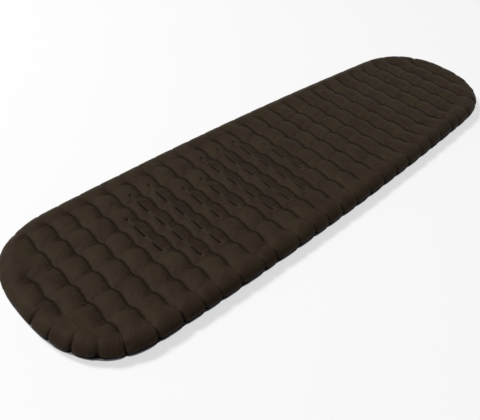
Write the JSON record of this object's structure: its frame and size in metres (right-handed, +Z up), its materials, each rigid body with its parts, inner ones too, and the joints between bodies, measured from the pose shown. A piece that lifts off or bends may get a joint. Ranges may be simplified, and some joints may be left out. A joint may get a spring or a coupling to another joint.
{
  "type": "inflatable sleeping pad",
  "caption": "Tapered inflatable sleeping pad with round ends, wavy transverse weld lines, short trench welds in the body zones and a flat two-stage valve on the underside.",
  "frame": {"origin": "middle of the ground face, under the centre of the pad", "axes": "+X from the head end to the foot end, +Y to the back edge, +Z up"},
  "size_m": [1.83, 0.557, 0.062],
  "materials": {
    "top_fabric": "fine plain-weave nylon, coated on its inner face, dull with a faint sheen",
    "bottom_fabric": "fine plain-weave nylon with a matt grip print",
    "film": "thin milky film",
    "valve_black": "fine moulded texture",
    "valve_grey": "fine moulded texture",
    "seal_rubber": "smooth soft silicone",
    "pin_steel": "drawn wire"
  },
  "bodies": {
    "pad": {"top_sheet": "top_fabric", "bottom_sheet": "bottom_fabric", "baffle_01": "film", "baffle_02": "film", "baffle_03": "film", "baffle_04": "film", "baffle_05": "film", "baffle_06": "film", "baffle_07": "film", "baffle_08": "film", "baffle_09": "film", "baffle_10": "film", "baffle_11": "film", "baffle_12": "film", "baffle_13": "film", "baffle_14": "film", "baffle_15": "film", "baffle_16": "film", "baffle_17": "film", "baffle_18": "film", "baffle_19": "film", "baffle_20": "film", "baffle_21": "film", "baffle_22": "film", "baffle_23": "film", "baffle_24": "film", "baffle_25": "film", "baffle_26": "film", "zone_tie_row_1": "film", "zone_tie_row_2": "film", "zone_tie_row_3": "film", "zone_tie_row_4": "film", "zone_tie_row_5": "film", "zone_tie_row_6": "film", "zone_tie_row_7": "film", "zone_tie_row_8": "film", "zone_tie_row_9": "film", "valve_flange": "film", "valve_housing": "valve_black", "lid_hinge_pin": "pin_steel"},
    "lid": {"deflation_lid": "valve_grey", "plug_seal": "seal_rubber", "cap_hinge_pin": "pin_steel"},
    "cap": {"inflation_cap": "valve_black", "cap_seal": "seal_rubber"},
    "flap": {"check_flap": "seal_rubber"}
  },
  "joints": [
    {"name": "lid_hinge", "type": "hinge", "parent": "pad", "child": "lid", "pos_m": [0.7416, 0.0186, 0.0093], "axis": [1, 0, 0], "range_deg": [0, 150]},
    {"name": "cap_hinge", "type": "hinge", "parent": "lid", "child": "cap", "pos_m": [0.7416, -0.0123, 0.0055], "axis": [-1, 0, 0], "range_deg": [0, 150]},
    {"name": "flap_slide", "type": "slide", "parent": "lid", "child": "flap", "axis": [0, 0, 1], "range_m": [0, 0.0015], "stiffness_N_per_m": 15}
  ]
}
